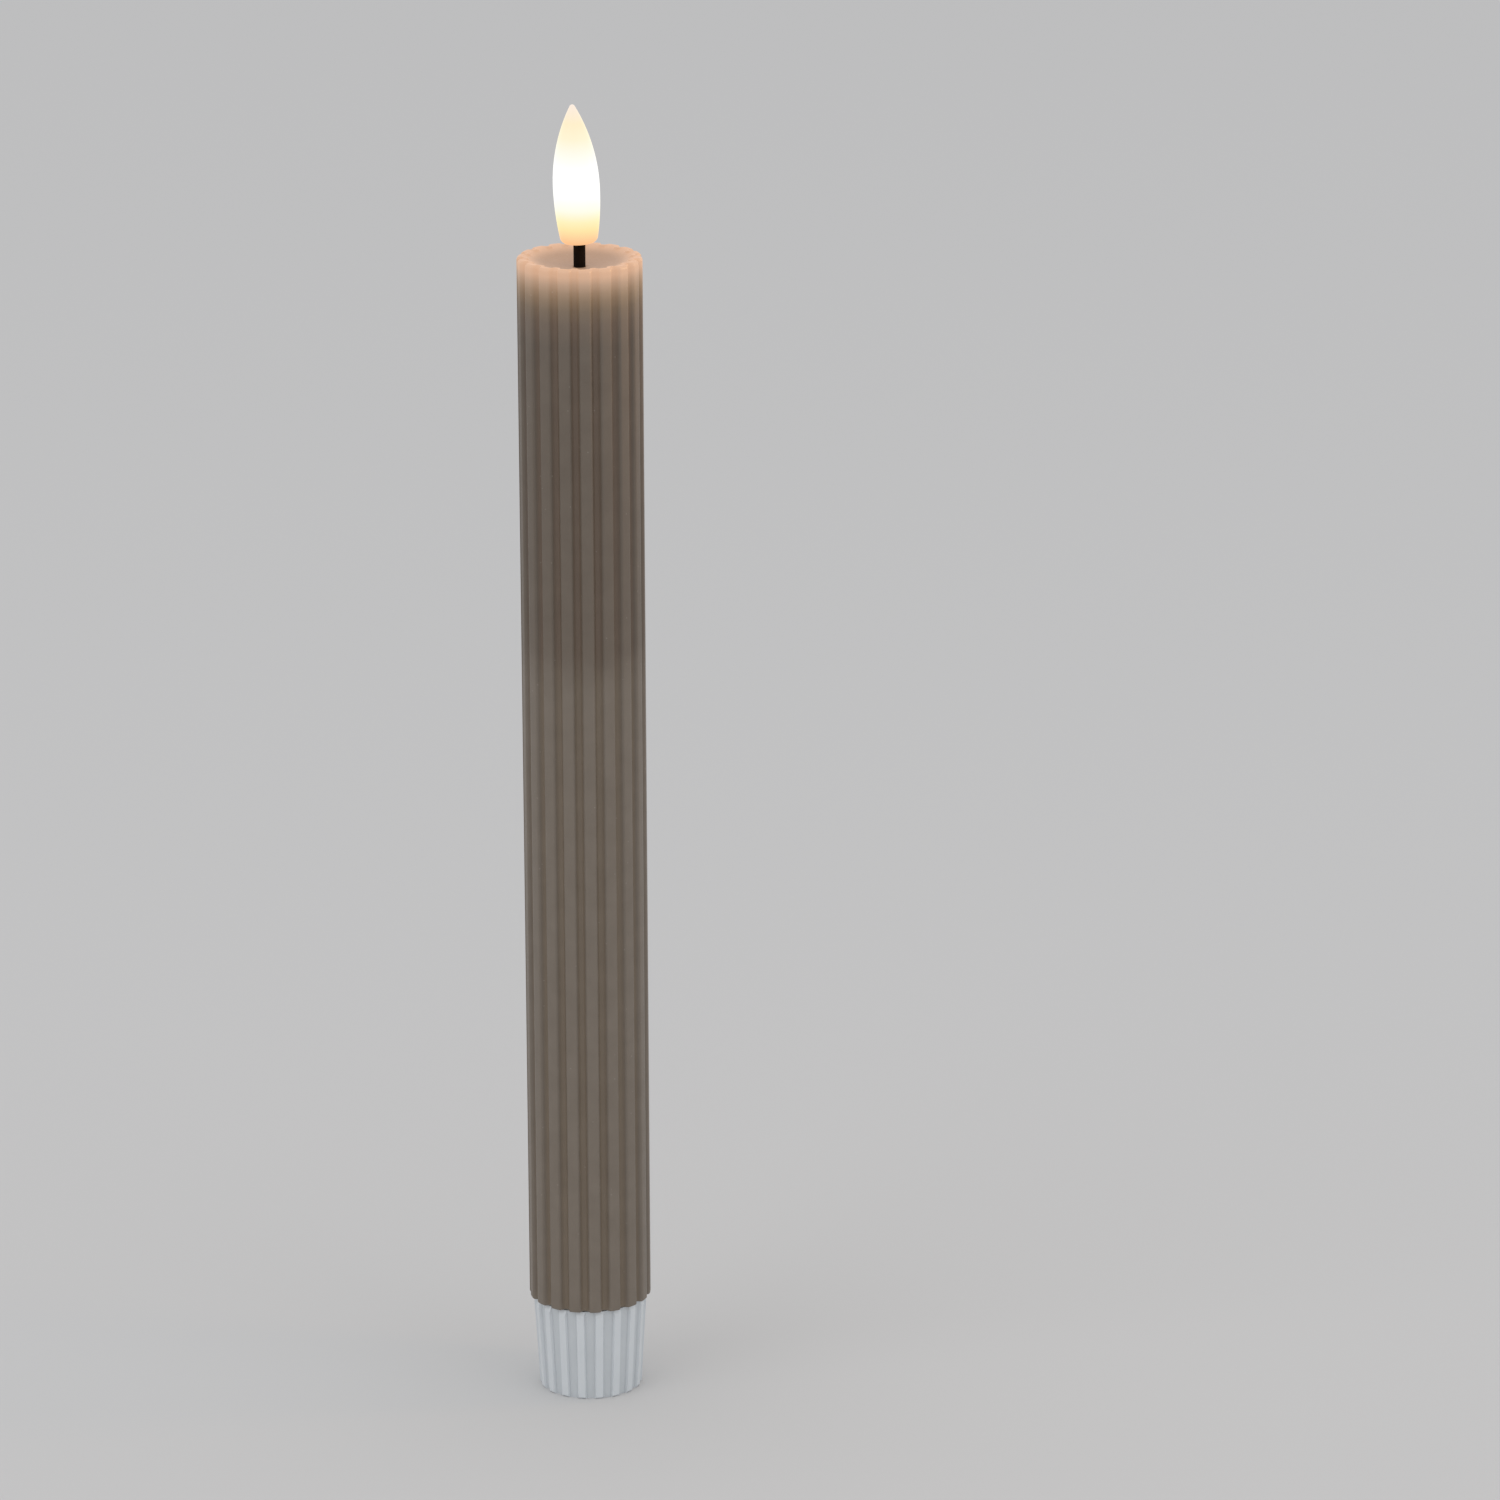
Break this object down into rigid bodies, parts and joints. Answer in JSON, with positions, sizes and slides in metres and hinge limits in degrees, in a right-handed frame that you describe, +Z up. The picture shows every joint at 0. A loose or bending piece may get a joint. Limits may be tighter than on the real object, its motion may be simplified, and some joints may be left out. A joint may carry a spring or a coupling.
{
  "type": "flameless led taper candle",
  "caption": "Fluted wax taper candle with a lit flame-shaped lens on a wick, a battery tube inside and a screw-on base with a slide switch.",
  "frame": {"origin": "centre of the foot, on the surface that the candle stands on", "axes": "+Z up the candle towards the flame, +X along the travel of the base's slide switch, towards ON"},
  "size_m": [0.022, 0.0218, 0.2377],
  "materials": {
    "wax": "taupe paraffin wax, soft sheen, slightly translucent",
    "base_plastic": "white moulded plastic, satin",
    "white_plastic": "white moulded plastic, satin",
    "wick": "black sleeve, matt",
    "lit_lens": "milky lens, lit warm from inside",
    "led_epoxy": "clear epoxy, lit warm",
    "tinned_steel": "tinned steel",
    "cell_steel": "nickel-plated steel",
    "spring_steel": "nickel-plated spring wire",
    "screw_steel": "zinc-plated steel",
    "nickel_contact": "nickel-plated strip",
    "copper": "gold-flashed copper",
    "red_wire": "red insulation",
    "black_wire": "black insulation",
    "green_board": "green solder mask over glass fibre",
    "black_epoxy": "black moulding compound",
    "tan_ceramic": "tan ceramic",
    "cell_jacket": "plain blue shrink jacket",
    "black_plastic": "black moulded plastic"
  },
  "bodies": {
    "candle": {"wax_body": "wax", "battery_tube": "white_plastic", "tube_lid": "white_plastic", "wick_sleeve": "wick", "flame_lens": "lit_lens", "lens_plug": "white_plastic", "led_lamp": "led_epoxy", "led_legs": "tinned_steel", "led_wire_positive": "red_wire", "led_wire_negative": "black_wire", "board_carrier": "white_plastic", "positive_contact": "nickel_contact", "return_strip": "nickel_contact", "circuit_board": "green_board", "controller_chip": "black_epoxy", "chip_leads": "tinned_steel", "led_resistor": "black_epoxy", "supply_capacitor": "tan_ceramic"},
    "battery_column": {"lower_cell_can": "cell_steel", "lower_cell_jacket": "cell_jacket", "lower_cell_negative_cap": "cell_steel", "upper_cell_can": "cell_steel", "upper_cell_jacket": "cell_jacket", "upper_cell_negative_cap": "cell_steel"},
    "screw_base": {"base_cap": "base_plastic", "negative_spring": "spring_steel", "switch_board": "green_board", "contact_ring": "copper", "board_screws": "screw_steel", "switch_shell": "tinned_steel", "switch_base": "black_plastic", "switch_pins": "tinned_steel"},
    "switch_slider": {"switch_knob": "black_plastic", "switch_wiper": "copper"}
  },
  "joints": [
    {"name": "battery_drop", "type": "slide", "parent": "candle", "child": "battery_column", "axis": [0, 0, -1], "range_m": [0, 0.008]},
    {"name": "cap_turn", "type": "hinge", "parent": "battery_column", "child": "screw_base", "pos_m": [0, 0, 0], "axis": [0, 0, -1], "range_deg": [0, 720]},
    {"name": "switch_slide", "type": "slide", "parent": "screw_base", "child": "switch_slider", "axis": [1, 0, 0], "range_m": [-0.002, 0]}
  ],
  "couplings": [
    {"joint": "cap_turn", "follows": "battery_drop", "rad_per_m": 1570.8}
  ]
}
